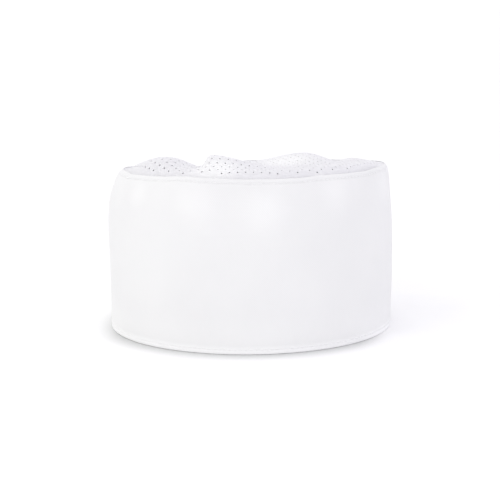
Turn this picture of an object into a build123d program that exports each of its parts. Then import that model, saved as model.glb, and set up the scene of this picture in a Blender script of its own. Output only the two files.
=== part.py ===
from build123d import *
import os
from math import atan2, degrees

# A chef's skull cap: a stiffened double-layer cloth band, a perforated mesh crown sewn to its
# top edge, and a hook-and-loop tab across a slit at the nape.
# Millimetres, +Z up. The origin is the centre of the head opening, on the plane that the hem
# stands on. The wearer faces -Y, so the tab is on the +Y side.
# A depth is measured inwards from the band's outer face, so what lies outside it is negative.

# ---- driving dimensions ----
CAP_WIDTH = 184.0  # across the ears, over the outer cloth
CAP_LENGTH = 194.0  # forehead to nape, over the outer cloth
FRONT_HEIGHT = 104.5  # the band's height at the forehead
BACK_HEIGHT = 97.5  # and at the nape
CROWN_RISE = 12.0  # how far the crown's middle stands above the band's top edge
CROWN_SPAN = 181.0  # across the crown's ball at the height of the band's top edge
LOFT_TOP = 118.0  # every layer is lofted to here and then trimmed to the sloping top edge

# The wall's outline: how far its outer face lies inside the full oval at each height.
WALL_INSETS = ((0.0, 0.6), (40.0, 0.0), (78.0, 0.4), (92.0, 2.2), (LOFT_TOP, 11.4))

# ---- cloth thicknesses and the air between layers ----
TWILL = 0.6
FUSING = 0.4
LINING = 0.5
TERRY = 1.2
MESH = 0.7
TAPE = 0.8
THREAD = 0.3
GAP = 0.1  # between neighbouring layers
THREAD_GAP = 0.02  # a thread lies almost on its cloth

# ---- depths of the band's layers, from the outer face inwards ----
FUSING_DEPTH = TWILL + GAP
LINING_DEPTH = FUSING_DEPTH + FUSING + GAP
WALL = LINING_DEPTH + LINING
INNER_DEPTH = WALL + GAP  # where the sweatband and the crown's seam allowance start
BINDING_DEPTH = INNER_DEPTH + MESH + GAP

# ---- heights ----
HEM_TURN = 0.6  # the outer cloth turned under the other layers
FUSING_FOOT = 4.0
FUSING_DROP = 10.0  # the stiffener stops this far below the top edge
SWEATBAND_FOOT = 1.5
SWEATBAND_TOP = 34.0
SEAM_ALLOWANCE = 9.0  # the crown's edge, turned down inside the band
BINDING_DROPS = (1.0, 12.0)  # the tape's two edges, below the band's top edge
THREAD_WIDTH = 0.8
CROWN_STITCH_DROP = 3.2
HEM_STITCH_HEIGHT = 3.0
SWEATBAND_STITCH_DROP = 3.0

# ---- the slit at the nape ----
SLIT_X = 14.0
SLIT_WIDTH = 3.0
SLIT_TOP = 82.0
SLIT_TAPE = 3.5  # the width of the tape that binds each edge
BARTACK = (7.0, 1.6)  # a dense bar of thread across the slit's top

# ---- the closing tab ----
TAB_FOOT, TAB_TOP = 8.0, 80.0
TAB_ROOT_X, TAB_HINGE_X, TAB_END_X = 36.0, 25.0, -36.0
TAB_CORNER = 9.0
HINGE_GAP = 0.4  # between the hinge line and the cloth on each side of it
ANCHOR_THICKNESS = 1.8  # the tab's two cloths, folded and sewn flat on the band
LOOP_PATCH = (-40.0, 6.0, 10.0, 78.0)  # x from, x to, z from, z to
HOOK_PATCH = (-33.0, -5.0, 14.0, 74.0)
PATCH_CORNER = 2.0
LOOP_THICKNESS = 1.1
HOOK_THICKNESS = 0.8
HOOK_GAP = 0.35  # between the hooks and the pile
STITCH_MARGIN = 2.0  # a row of stitches lies this far inside the edge it holds

# ---- depths of the outer faces of the tab's layers, which lie outside the band's face ----
ANCHOR_DEPTH = -(GAP + ANCHOR_THICKNESS)
LOOP_DEPTH = -(GAP + LOOP_THICKNESS)
HOOK_DEPTH = LOOP_DEPTH - HOOK_GAP - HOOK_THICKNESS
TAB_LINING_DEPTH = HOOK_DEPTH - GAP - LINING
TAB_FUSING_DEPTH = TAB_LINING_DEPTH - GAP - FUSING
TAB_DEPTH = TAB_FUSING_DEPTH - GAP - TWILL

# ---- the care label ----
LABEL_WIDTH, LABEL_LENGTH, LABEL_THICKNESS = 24.0, 42.0, 0.35
LABEL_X = -85.9  # its outer face, just inside the binding on the left
LABEL_TOP = 88.4
LABEL_STITCH_RISE = 2.0  # the stitches that hold it, above its top edge

FAR = 150.0  # longer than any cut needs to be
MIDDLE_HEIGHT = (FRONT_HEIGHT + BACK_HEIGHT) / 2
TOP_SLOPE = degrees(atan2(FRONT_HEIGHT - BACK_HEIGHT, CAP_LENGTH))


# ---- building blocks ----
def core(depth):
    """Everything inside the band's face moved inwards by depth."""
    half_width, half_length = CAP_WIDTH / 2 - depth, CAP_LENGTH / 2 - depth
    sections = [
        Plane.XY.offset(height) * Ellipse(half_width - inset, half_length - inset)
        for height, inset in WALL_INSETS
    ]
    return loft(sections)


def layer(outer_depth, thickness):
    """A wall of one cloth's thickness, over the whole height of the loft."""
    return core(outer_depth) - core(outer_depth + thickness)


def top_frame(drop):
    """The middle of the sloping top edge's plane, lowered by drop, with Z square to it."""
    return Pos(0, 0, MIDDLE_HEIGHT) * Rot(-TOP_SLOPE, 0, 0) * Pos(0, 0, -drop)


def thread_on(face_depth, thickness=THREAD):
    """Thread lying on the outer face at that depth."""
    return layer(face_depth - THREAD_GAP - thickness, thickness)


def under_top(drop=0.0):
    """The space below the sloping top edge, lowered by drop."""
    block = Box(2 * FAR, 2 * FAR, FAR, align=(Align.CENTER, Align.CENTER, Align.MAX))
    return top_frame(drop) * block


def between_heights(low, high):
    slab = Box(2 * FAR, 2 * FAR, high - low, align=(Align.CENTER, Align.CENTER, Align.MIN))
    return Pos(0, 0, low) * slab


def nape_prism(outline):
    """An outline drawn in X and Z, carried through the wall at the nape only."""
    return extrude(Plane.XZ * outline, amount=-FAR)


def nape_panel(x_from, x_to, z_from, z_to, corner):
    width, height = x_to - x_from, z_to - z_from
    middle = ((x_from + x_to) / 2, (z_from + z_to) / 2)
    return nape_prism(Pos(*middle) * RectangleRounded(width, height, corner))


def slit_shape(margin=0.0):
    """The slit with its round top, widened all round by margin."""
    half = SLIT_WIDTH / 2 + margin
    leg = Pos(SLIT_X, SLIT_TOP / 2 - FAR / 4) * Rectangle(2 * half, SLIT_TOP + FAR / 2)
    return nape_prism(leg + Pos(SLIT_X, SLIT_TOP) * Circle(half))


def shrunk(panel, margin):
    """A panel's limits, taken in by margin on every side."""
    x_from, x_to, z_from, z_to = panel
    return x_from + margin, x_to - margin, z_from + margin, z_to - margin


# ---- the band ----
def band_outer():
    wall = layer(0, TWILL) + (layer(0, WALL) & between_heights(0, HEM_TURN))
    return (wall & under_top()) - slit_shape()


def band_interfacing():
    wall = layer(FUSING_DEPTH, FUSING) & under_top(FUSING_DROP)
    return (wall - between_heights(-1, FUSING_FOOT)) - slit_shape(GAP)


def band_lining():
    wall = layer(LINING_DEPTH, LINING) & under_top()
    return (wall - between_heights(-1, HEM_TURN + GAP)) - slit_shape()


def sweatband():
    wall = layer(INNER_DEPTH, TERRY) & between_heights(SWEATBAND_FOOT, SWEATBAND_TOP)
    return wall - slit_shape()


def slit_binding():
    tape = layer(-(GAP + TAPE), TAPE) & (slit_shape(SLIT_TAPE) - slit_shape())
    return tape & between_heights(HEM_TURN, FAR)


def slit_bartack():
    length, width = BARTACK
    foot = SLIT_TOP + SLIT_WIDTH / 2 + SLIT_TAPE + 1.0
    bar = nape_panel(SLIT_X - length / 2, SLIT_X + length / 2, foot, foot + width, width / 3)
    return thread_on(0) & bar


# ---- the crown ----
def crown_ball(thickness):
    """The ball whose cap is the crown, square to the sloping top edge."""
    radius = ((CROWN_SPAN / 2) ** 2 + CROWN_RISE**2) / (2 * CROWN_RISE)
    return top_frame(radius - CROWN_RISE) * Sphere(radius - thickness)


def crown_mesh():
    outside = core(INNER_DEPTH) & crown_ball(0)
    inside = core(INNER_DEPTH + MESH) & crown_ball(MESH)
    return (outside - inside) - under_top(SEAM_ALLOWANCE)


def crown_seam_binding():
    upper, lower = BINDING_DROPS
    return (layer(BINDING_DEPTH, TAPE) & under_top(upper)) - under_top(lower)


# ---- rows of stitches, each as one flat line of thread ----
def crown_topstitch():
    row = thread_on(0) & under_top(CROWN_STITCH_DROP)
    return row - under_top(CROWN_STITCH_DROP + THREAD_WIDTH)


def hem_topstitch():
    row = between_heights(HEM_STITCH_HEIGHT, HEM_STITCH_HEIGHT + THREAD_WIDTH)
    return (thread_on(0) & row) - slit_shape(SLIT_TAPE + GAP)


def sweatband_stitch():
    height = SWEATBAND_TOP - SWEATBAND_STITCH_DROP
    inner_face = layer(INNER_DEPTH + TERRY + THREAD_GAP, THREAD)
    return (inner_face & between_heights(height, height + THREAD_WIDTH)) - slit_shape()


# ---- the tab ----
def tab_panel(margin=0.0):
    """The tab's free part: round corners at its end, cut square along the hinge line."""
    low, high = TAB_FOOT + margin, TAB_TOP - margin
    panel = nape_panel(TAB_END_X + margin, TAB_ROOT_X, low, high, TAB_CORNER - margin)
    beyond_hinge = Box(FAR, 2 * FAR, 2 * FAR, align=(Align.MIN, Align.CENTER, Align.CENTER))
    return panel - Pos(TAB_HINGE_X - HINGE_GAP, 0, 0) * beyond_hinge


def tab_anchor():
    strip = nape_panel(TAB_HINGE_X + HINGE_GAP, TAB_ROOT_X, TAB_FOOT, TAB_TOP, 0.5)
    return layer(ANCHOR_DEPTH, ANCHOR_THICKNESS) & strip


def tab_anchor_stitch():
    """Two upright rows through the anchor and the band."""
    face = thread_on(ANCHOR_DEPTH)
    low, high = TAB_FOOT + STITCH_MARGIN, TAB_TOP - STITCH_MARGIN
    rows = []
    for x in (TAB_HINGE_X + 2 * STITCH_MARGIN, TAB_ROOT_X - STITCH_MARGIN):
        rows += (face & nape_panel(x - THREAD_WIDTH, x, low, high, THREAD_WIDTH / 3)).solids()
    return Compound(rows)


def tab_topstitch():
    """One row round the tab's three free edges."""
    line = tab_panel(STITCH_MARGIN) - tab_panel(STITCH_MARGIN + THREAD_WIDTH)
    return thread_on(TAB_DEPTH) & line


def patch(panel, outer_depth, thickness):
    return layer(outer_depth, thickness) & nape_panel(*panel, PATCH_CORNER)


def patch_stitch(panel, face_depth, thickness=THREAD):
    """A rectangle of stitches just inside the edge of a patch."""
    outside = nape_panel(*shrunk(panel, STITCH_MARGIN), PATCH_CORNER)
    inside = nape_panel(*shrunk(panel, STITCH_MARGIN + THREAD_WIDTH), PATCH_CORNER - THREAD_WIDTH)
    return thread_on(face_depth, thickness) & (outside - inside)


# ---- the care label ----
def care_label():
    hanging = (Align.MIN, Align.CENTER, Align.MAX)
    return Pos(LABEL_X, 0, LABEL_TOP) * Box(LABEL_THICKNESS, LABEL_WIDTH, LABEL_LENGTH, align=hanging)


def label_stitch():
    """The row that catches the label's top edge, on the binding's inner face."""
    face = layer(BINDING_DEPTH + TAPE + THREAD_GAP, THREAD)
    on_the_left = (Align.MAX, Align.CENTER, Align.MIN)
    row = Box(FAR, LABEL_WIDTH - 2 * STITCH_MARGIN, THREAD_WIDTH, align=on_the_left)
    return face & (Pos(0, 0, LABEL_TOP + LABEL_STITCH_RISE) * row)


PARTS = {
    "band_outer": band_outer(),
    "band_interfacing": band_interfacing(),
    "band_lining": band_lining(),
    "sweatband": sweatband(),
    "slit_binding": slit_binding(),
    "slit_bartack": slit_bartack(),
    "crown_mesh": crown_mesh(),
    "crown_seam_binding": crown_seam_binding(),
    "crown_topstitch": crown_topstitch(),
    "hem_topstitch": hem_topstitch(),
    "sweatband_stitch": sweatband_stitch(),
    "tab_anchor": tab_anchor(),
    "tab_anchor_stitch": tab_anchor_stitch(),
    "tab_outer": layer(TAB_DEPTH, TWILL) & tab_panel(),
    "tab_interfacing": layer(TAB_FUSING_DEPTH, FUSING) & tab_panel(STITCH_MARGIN),
    "tab_lining": layer(TAB_LINING_DEPTH, LINING) & tab_panel(),
    "tab_topstitch": tab_topstitch(),
    "loop_patch": patch(LOOP_PATCH, LOOP_DEPTH, LOOP_THICKNESS),
    "loop_patch_stitch": patch_stitch(LOOP_PATCH, LOOP_DEPTH, THREAD / 2),
    "hook_patch": patch(HOOK_PATCH, HOOK_DEPTH, HOOK_THICKNESS),
    "hook_patch_stitch": patch_stitch(HOOK_PATCH, TAB_DEPTH),
    "care_label": care_label(),
    "label_stitch": label_stitch(),
}

os.makedirs("parts", exist_ok=True)
for name, shape in PARTS.items():
    export_step(Compound(shape.solids()), f"parts/{name}.step")
    print(name, len(shape.solids()), round(shape.volume, 1))
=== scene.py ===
import math

import bpy
import numpy as np
from mathutils import Matrix, Vector, geometry
from mathutils.bvhtree import BVHTree


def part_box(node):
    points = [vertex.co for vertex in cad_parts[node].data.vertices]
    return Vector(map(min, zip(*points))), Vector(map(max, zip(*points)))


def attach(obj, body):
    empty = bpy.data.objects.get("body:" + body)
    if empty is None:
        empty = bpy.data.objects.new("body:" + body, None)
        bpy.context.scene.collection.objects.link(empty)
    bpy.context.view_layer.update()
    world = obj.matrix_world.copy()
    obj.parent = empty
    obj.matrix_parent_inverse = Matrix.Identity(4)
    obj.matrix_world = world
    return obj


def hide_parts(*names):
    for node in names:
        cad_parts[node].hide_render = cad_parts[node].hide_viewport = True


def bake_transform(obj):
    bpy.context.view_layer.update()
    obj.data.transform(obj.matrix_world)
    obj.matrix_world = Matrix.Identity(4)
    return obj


# A chef's skull cap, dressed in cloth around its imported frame. Metres, in the frame's own axes: the
# wearer faces -Y and the closing tab is on the +Y side. A depth is measured inwards from the band's
# outer face, so what lies outside it is negative. A drop is measured down from the band's top edge.

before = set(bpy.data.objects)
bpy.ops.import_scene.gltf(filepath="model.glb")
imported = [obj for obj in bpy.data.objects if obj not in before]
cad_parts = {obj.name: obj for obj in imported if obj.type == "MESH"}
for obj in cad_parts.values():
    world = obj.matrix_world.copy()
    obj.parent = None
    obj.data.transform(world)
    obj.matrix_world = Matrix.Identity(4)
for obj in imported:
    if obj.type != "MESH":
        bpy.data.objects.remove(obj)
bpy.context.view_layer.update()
MM = 0.001


# ======== the band's wall, which everything sewn to it follows ========
def ramp(value, start, end):
    """0 before start, 1 after end, and a smooth change between them."""
    share = np.clip((value - start) / (end - start), 0, 1)
    return share * share * (3 - 2 * share)


def around(angle, knots):
    """A smooth closed curve through a few (degrees, value) points, at angles in radians."""
    degrees, values = np.array(sorted(knots)).T
    degrees = np.concatenate([degrees - 360, degrees, degrees + 360])
    values = np.tile(values, 3)
    at = np.degrees(np.arctan2(np.sin(angle), np.cos(angle)))
    index = np.clip(np.searchsorted(degrees, at) - 1, 0, len(degrees) - 2)
    share = ramp(at, degrees[index], degrees[index + 1])
    return values[index] * (1 - share) + values[index + 1] * share


class Wall:
    """The oval wall, read off the CAD band, with the slack and slump of real cloth added."""

    # How the top edge rises and dips from its plane, in mm, by angle: 0 is the right ear, 90 the nape.
    RISE = [(0, 3.2), (-24, 2.9), (-36, 1.9), (-48, 1.75), (-58, 1.7), (-72, 0.6), (-90, 0.5), (-104, 1.1),
            (-118, 1.8), (-128, 1.0), (-140, 0.75), (-150, 0.7), (-160, 1.3), (180, 1.0), (140, -1.2),
            (113, -4.2), (88, -1.0), (55, 0.5)]
    # How far the top corner leans out, in mm.
    LEAN = [(0, 1.2), (-35, 0.4), (-90, 0.2), (-145, -1.6), (180, -3.0), (145, -1.5), (90, -0.6), (40, 0.4)]
    # How far its last few millimetres turn in further, in mm.
    TUCK = [(0, 0.6), (-40, 0.2), (-90, 0.0), (-140, 0.6), (-165, 2.6), (180, 2.8), (150, 1.4), (100, 0.0),
            (40, 0.2)]
    # Soft swellings under the top edge: angle, drop, half width and half height in mm, and swell.
    PUFFS = [(-111, 17, 9, 6.5, 1.8), (-84, 19, 9, 7, 1.5), (-98, 14, 4, 9, -0.7), (-53, 11, 12, 6, 1.1),
             (-150, 11, 9, 8, 0.8), (-22, 10, 8, 9, 0.4), (-68, 30, 22, 16, 0.25), (-125, 42, 26, 20, 0.3),
             (-40, 52, 30, 26, 0.3), (25, 12, 12, 9, 0.6), (60, 16, 14, 10, 0.6), (120, 14, 14, 9, 0.7),
             (150, 12, 12, 10, 0.6), (172, 66, 30, 24, -0.6), (-172, 82, 24, 14, 0.2), (2, 74, 34, 24, 1.0)]

    def __init__(self):
        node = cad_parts["band_outer"]
        points = np.array([v.co for v in node.data.vertices])
        tree = BVHTree.FromPolygons([v.co for v in node.data.vertices],
                                    [p.vertices for p in node.data.polygons])
        low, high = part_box("band_outer")
        self.half_width, self.half_length = high.x, high.y
        front = points[points[:, 1] < 0.9 * low.y]
        back = points[points[:, 1] > 0.9 * high.y]
        front, back = front[front[:, 2].argmax()], back[back[:, 2].argmax()]
        self.slope = (front[2] - back[2]) / (back[1] - front[1])
        self.middle_top = front[2] + self.slope * front[1]
        heights = np.linspace(0.3 * MM, front[2] - 0.6 * MM, 70)
        insets = []
        for height in heights:
            hit = tree.ray_cast(Vector((0, 1.2 * low.y, height)), Vector((0, 1, 0)))[0]
            insets.append(hit.y - low.y)
        steep = (insets[-1] - insets[-4]) / (heights[-1] - heights[-4])
        self.heights = np.append(heights, heights[-1] + 20 * MM)
        self.insets = np.append(insets, insets[-1] + steep * 20 * MM)
        turns = np.radians(np.linspace(-180, 180, 1441))
        ring = np.stack([self.half_width * np.cos(turns), self.half_length * np.sin(turns)], 1)
        steps = np.linalg.norm(np.diff(ring, axis=0), axis=1)
        self.turns, self.along = turns, np.concatenate([[0], np.cumsum(steps)])
        self.girth = self.along[-1]

    def angle_at(self, length):
        """The angle reached after that length of wall, starting from the left ear, anticlockwise."""
        return np.interp(length, self.along, self.turns)

    def length_at(self, angle):
        return np.interp(angle, self.turns, self.along)

    def angle_of(self, x):
        """The angle at the nape of an upright line at that x."""
        return np.arccos(x / self.half_width)

    def flat_top(self, angle):
        return self.middle_top - self.slope * self.half_length * 0.95 * np.sin(angle)

    def rise(self, angle):
        return around(angle, self.RISE) * MM

    def top(self, angle):
        return self.flat_top(angle) + self.rise(angle)

    def push(self, angle, drop):
        """How far the cloth stands out from the plain wall."""
        out = around(angle, self.LEAN) * MM * (1 - ramp(drop, 0, 22 * MM))
        out = out - around(angle, self.TUCK) * MM * (1 - ramp(drop, -2 * MM, 6 * MM))
        for degrees, below, half_wide, half_high, swell in self.PUFFS:
            turn = np.angle(np.exp(1j * (angle - math.radians(degrees))))
            across = turn * self.half_width / (half_wide * MM)
            up = (drop - below * MM) / (half_high * MM)
            out = out + swell * MM * np.exp(-0.5 * (across**2 + up**2))
        length = self.length_at(np.arctan2(np.sin(angle), np.cos(angle)))
        ripple = np.sin(length / (1.9 * MM)) * np.sin(length / (7.3 * MM) + 1.0)
        ripple = ripple + 0.7 * np.sin(length / (3.1 * MM) + 2.0)
        near_seam = ramp(drop, 0.5 * MM, 3 * MM) * (1 - ramp(drop, 4 * MM, 15 * MM))
        return out + 0.11 * MM * ripple * near_seam

    def place(self, angle, drop, depth):
        """Points of the wall, by angle, drop and depth."""
        angle, drop, depth = np.broadcast_arrays(*(np.asarray(v, float) for v in (angle, drop, depth)))
        flat_top = self.flat_top(angle)
        height = flat_top - drop
        inset = np.interp(height, self.heights, self.insets) + depth
        a, b = self.half_width - inset, self.half_length - inset
        outward = np.stack([b * np.cos(angle), a * np.sin(angle)], -1)
        outward /= np.linalg.norm(outward, axis=-1, keepdims=True)
        flat = np.stack([a * np.cos(angle), b * np.sin(angle)], -1)
        flat = flat + outward * self.push(angle, drop)[..., None]
        lifted = height + self.rise(angle) * ramp(height, 0.35 * flat_top, flat_top)
        return np.concatenate([flat, lifted[..., None]], -1)

    def at_height(self, angle, height, depth):
        """The same, by height above the hem's plane instead of drop."""
        return self.place(angle, self.flat_top(angle) - height, depth)

    def nape(self, x, height, depth):
        return self.at_height(self.angle_of(x), height, depth)


wall = Wall()


# ======== mesh building ========
def finished(name, vertices, faces, corner_uv, material, sharp=50):
    """A smooth mesh object with a "cloth" map in metres, one (u, v) for each face corner."""
    mesh = bpy.data.meshes.new(name)
    mesh.from_pydata([tuple(v) for v in vertices], [], [tuple(int(i) for i in f) for f in faces])
    if corner_uv is not None:
        layer = mesh.uv_layers.new(name="cloth")
        layer.data.foreach_set("uv", np.asarray(corner_uv, np.float32).ravel())
    mesh.polygons.foreach_set("use_smooth", [True] * len(mesh.polygons))
    mesh.set_sharp_from_angle(angle=math.radians(sharp))
    mesh.materials.append(material)
    piece = bpy.data.objects.new(name, mesh)
    bpy.context.scene.collection.objects.link(piece)
    return piece


def sheet_of(name, outer, inner, faces, uv, material, sharp=50):
    """Closed cloth from its two faces: outer and inner points, faces of the outer side, and uv per corner.
    An edge that only one face uses is on the cloth's rim, where a strip joins its two sides."""
    count = len(outer)
    vertices = np.concatenate([outer, inner])
    edges, every, corner_uv = {}, [], []
    for face, corners in zip(faces, uv):
        for k in range(len(face)):
            n = (k + 1) % len(face)
            key = (min(face[k], face[n]), max(face[k], face[n]))
            edges.setdefault(key, []).append((face[k], face[n], corners[k], corners[n]))
        every.append(face)
        corner_uv.extend(corners)
        every.append([i + count for i in reversed(face)])
        corner_uv.extend(reversed(corners))
    for users in edges.values():
        if len(users) == 1:
            a, b, uv_a, uv_b = users[0]
            every.append([b, a, a + count, b + count])
            corner_uv.extend([uv_b, uv_a, uv_a, uv_b])
    return finished(name, vertices, every, corner_uv, material, sharp)


def grid_faces(across, up, closed=False, keep=None):
    """Quads over a grid of vertices numbered column by column, with uv from the two lists of lengths.
    A closed grid has one more entry in across than it has columns."""
    columns = len(across) - 1 if closed else len(across)
    rows = len(up)
    faces, uv = [], []
    for i in range(columns if closed else columns - 1):
        right = (i + 1) % columns
        for j in range(rows - 1):
            if keep is not None and not keep(i, j):
                continue
            faces.append([i * rows + j, right * rows + j, right * rows + j + 1, i * rows + j + 1])
            uv.append([(across[i], up[j]), (across[i + 1], up[j]),
                       (across[i + 1], up[j + 1]), (across[i], up[j + 1])])
    return faces, uv


def tubes(name, lines, radii, material, sides=6):
    """Many short threads in one mesh: lines is (count, rings, 3), radii is one per ring."""
    lines = np.asarray(lines, float)
    count, rings, _ = lines.shape
    along = np.gradient(lines, axis=1)
    along /= np.linalg.norm(along, axis=2, keepdims=True) + 1e-12
    helper = np.where(np.abs(along[..., 2:3]) < 0.9, np.array([0, 0, 1.0]), np.array([1.0, 0, 0]))
    side = np.cross(along, helper)
    side /= np.linalg.norm(side, axis=2, keepdims=True)
    other = np.cross(along, side)
    turn = np.linspace(0, 2 * math.pi, sides, endpoint=False)
    radii = np.asarray(radii, float)[None, :, None, None]
    circle = side[:, :, None, :] * np.cos(turn)[:, None] + other[:, :, None, :] * np.sin(turn)[:, None]
    points = (lines[:, :, None, :] + circle * radii).reshape(-1, 3)
    one = []
    for r in range(rings - 1):
        for s in range(sides):
            nxt = (s + 1) % sides
            one.append([r * sides + s, r * sides + nxt, (r + 1) * sides + nxt, (r + 1) * sides + s])
    per = rings * sides
    caps = [list(range(sides))[::-1], list(range((rings - 1) * sides, per))]
    faces = [[i + k * per for i in face] for k in range(count) for face in one + caps]
    return finished(name, points, faces, None, material, sharp=80)


# ======== materials ========
class Finish:
    """A material and its nodes, built up call by call."""

    def __init__(self, name, roughness, sheen=0.0, specular=0.3):
        self.material = bpy.data.materials.new(name)
        self.material.use_nodes = True
        self.tree = self.material.node_tree
        self.shader = self.tree.nodes["Principled BSDF"]
        self.shader.inputs["Roughness"].default_value = roughness
        self.shader.inputs["Specular IOR Level"].default_value = specular
        self.shader.inputs["Sheen Weight"].default_value = sheen
        self.shader.inputs["Sheen Roughness"].default_value = 0.5

    def node(self, kind, settings=None, **inputs):
        """A node with its settings, and inputs given as values or as other nodes' outputs."""
        made = self.tree.nodes.new("ShaderNode" + kind)
        for key, value in (settings or {}).items():
            setattr(made, key, value)
        for key, value in inputs.items():
            socket = made.inputs[int(key[1:])] if key[0] == "i" and key[1:].isdigit() else made.inputs[key]
            if isinstance(value, bpy.types.NodeSocket):
                self.tree.links.new(value, socket)
            else:
                socket.default_value = value
        return made

    def map(self, per_metre=(1, 1)):
        """The cloth's own map, scaled."""
        uv = self.node("UVMap", {"uv_map": "cloth"}).outputs["UV"]
        return self.node("Mapping", Vector=uv, Scale=(per_metre[0], per_metre[1], 1)).outputs["Vector"]

    def place(self):
        return self.node("TexCoord").outputs["Object"]

    def wave(self, vector, pitch, direction="X", distortion=0.0):
        """Soft stripes of that pitch in metres, from 0 to 1."""
        scale = 2 * math.pi / (20 * pitch)
        made = self.node("TexWave", {"bands_direction": direction}, Vector=vector, Scale=scale,
                         Distortion=distortion, Detail=1.0)
        return made.outputs["Fac"]

    def noise(self, vector, size, detail=3.0, roughness=0.5):
        made = self.node("TexNoise", Vector=vector, Scale=1 / size, Detail=detail, Roughness=roughness)
        return made.outputs["Fac"]

    def math(self, operation, a, b):
        return self.node("Math", {"operation": operation}, i0=a, i1=b).outputs[0]

    def total(self, a, share_a, b, share_b):
        """The sum of two patterns, each times its share."""
        return self.math("ADD", self.math("MULTIPLY", a, share_a), self.math("MULTIPLY", b, share_b))

    def tint(self, share, dark, light, low=0.0, high=1.0):
        """A colour between two, by a share that is stretched from low..high to 0..1."""
        made = self.node("ValToRGB", Fac=share)
        for element, position, colour in zip(made.color_ramp.elements, (low, high), (dark, light)):
            element.position, element.color = position, (*colour, 1)
        return made.outputs["Color"]

    def even(self, colour):
        made = self.node("RGB").outputs["Color"]
        made.default_value = (*colour, 1)
        return made

    def fade(self, value, start, end, first=1.0, last=0.0):
        """Goes smoothly from the first share at the start to the last share at the end."""
        made = self.node("MapRange", {"interpolation_type": "SMOOTHSTEP"}, Value=value)
        for name, number in (("From Min", start), ("From Max", end), ("To Min", first), ("To Max", last)):
            made.inputs[name].default_value = number
        return made.outputs["Result"]

    def near(self, spots):
        """1 at each of some (place, radius) spots, given in mm, falling to 0 at the radius."""
        where, total = self.place(), 0.0
        for place, radius in spots:
            away = self.node("VectorMath", {"operation": "DISTANCE"}, i0=where, i1=[v * MM for v in place])
            share = self.fade(away.outputs["Value"], 0.1 * radius * MM, radius * MM)
            total = self.math("MAXIMUM", share, total)
        return total

    def mixed(self, first, second, share):
        made = self.node("Mix", {"data_type": "RGBA"})
        for name, socket in (("Factor", share), ("A", first), ("B", second)):
            self.tree.links.new(socket, [i for i in made.inputs if i.name == name and i.enabled][0])
        return [o for o in made.outputs if o.enabled][0]

    def colour(self, socket):
        self.tree.links.new(socket, self.shader.inputs["Base Color"])

    def rough(self, pattern, share, least):
        """Roughness that goes up from its least value with a pattern, times a share."""
        roughness = self.math("ADD", self.math("MULTIPLY", pattern, share), least)
        self.tree.links.new(roughness, self.shader.inputs["Roughness"])

    def bump(self, height, depth, strength=1.0):
        made = self.node("Bump", Height=height, Distance=depth, Strength=strength)
        self.tree.links.new(made.outputs["Normal"], self.shader.inputs["Normal"])


def twill():
    """Diagonal ribs of fine yarn, with slubs and a faint unevenness. The swollen places under the top edge
    and the hem, most of all where it turns under, are tinted lighter to suit the photograph. This is a
    painted highlight on the swollen places, and painted light that lifts the hem out of its shade."""
    f = Finish("white_twill", 0.86, sheen=0.12)
    cloth = f.map()
    ribs = f.wave(cloth, 0.62 * MM, "DIAGONAL", 0.25)
    yarn = f.wave(cloth, 0.36 * MM, "Y", 0.3)
    weave = f.math("MULTIPLY", ribs, f.math("ADD", f.math("MULTIPLY", yarn, 0.5), 0.5))
    slubs = f.noise(f.map((1, 0.15)), 2.5 * MM)
    patches = f.noise(f.place(), 45 * MM, 2)
    shade = f.total(weave, 0.35, patches, 0.65)
    plain = f.tint(shade, (0.775, 0.775, 0.778), (0.825, 0.825, 0.824), 0.2, 0.75)
    # A lighter copy of the cloth's colour: painted light, used for the painted highlights and for lifting the
    # hem.
    painted_light_colour = f.tint(shade, (0.815, 0.815, 0.815), (0.865, 0.865, 0.864), 0.2, 0.75)
    # Painted highlights on the swollen places under the top edge.
    painted_highlight_spots = [((-32, -91, 88), 21), ((9, -97, 86), 20), ((52, -80, 95), 17), ((-70, -62, 95), 13),
                 ((82, -34, 94), 17)]
    up = f.node("SeparateXYZ", Vector=f.place()).outputs["Z"]
    # Painted light low on the band: lighter towards the hem, and nearly white on its bottom few millimetres.
    hem, painted_hem_edge_highlight = f.fade(up, 2 * MM, 26 * MM, 0.9), f.fade(up, 1.5 * MM, 6 * MM)
    share = f.math("MAXIMUM", f.math("MULTIPLY", f.near(painted_highlight_spots), 0.9), hem)
    f.colour(f.mixed(f.mixed(plain, painted_light_colour, share), f.even((0.95, 0.95, 0.95)), painted_hem_edge_highlight))
    f.rough(slubs, 0.12, 0.8)
    f.bump(f.total(weave, 0.7, slubs, 0.5), 0.05 * MM, 0.7)
    return f.material


def plain_weave(name, light, dark, pitch, depth):
    """Over-and-under weave of two sets of yarn."""
    f = Finish(name, 0.88, sheen=0.08)
    cloth = f.map()
    warp, weft = f.wave(cloth, pitch, "X", 0.2), f.wave(cloth, pitch, "Y", 0.2)
    weave = f.math("ABSOLUTE", f.math("SUBTRACT", warp, weft), 0.0)
    uneven = f.noise(f.place(), 14 * MM)
    f.colour(f.tint(f.total(weave, 0.5, uneven, 0.5), dark, light, 0.2, 0.8))
    f.rough(uneven, 0.15, 0.78)
    f.bump(weave, depth, 0.8)
    return f.material


def ribbed_tape():
    f = Finish("ribbed_tape", 0.78, sheen=0.1)
    ribs = f.wave(f.map(), 0.7 * MM, "X", 0.15)
    uneven = f.noise(f.place(), 9 * MM)
    f.colour(f.tint(f.total(ribs, 0.5, uneven, 0.5), (0.82, 0.82, 0.83), (0.92, 0.92, 0.92), 0.15, 0.85))
    f.rough(uneven, 0.15, 0.7)
    f.bump(ribs, 0.12 * MM, 0.9)
    return f.material


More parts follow.
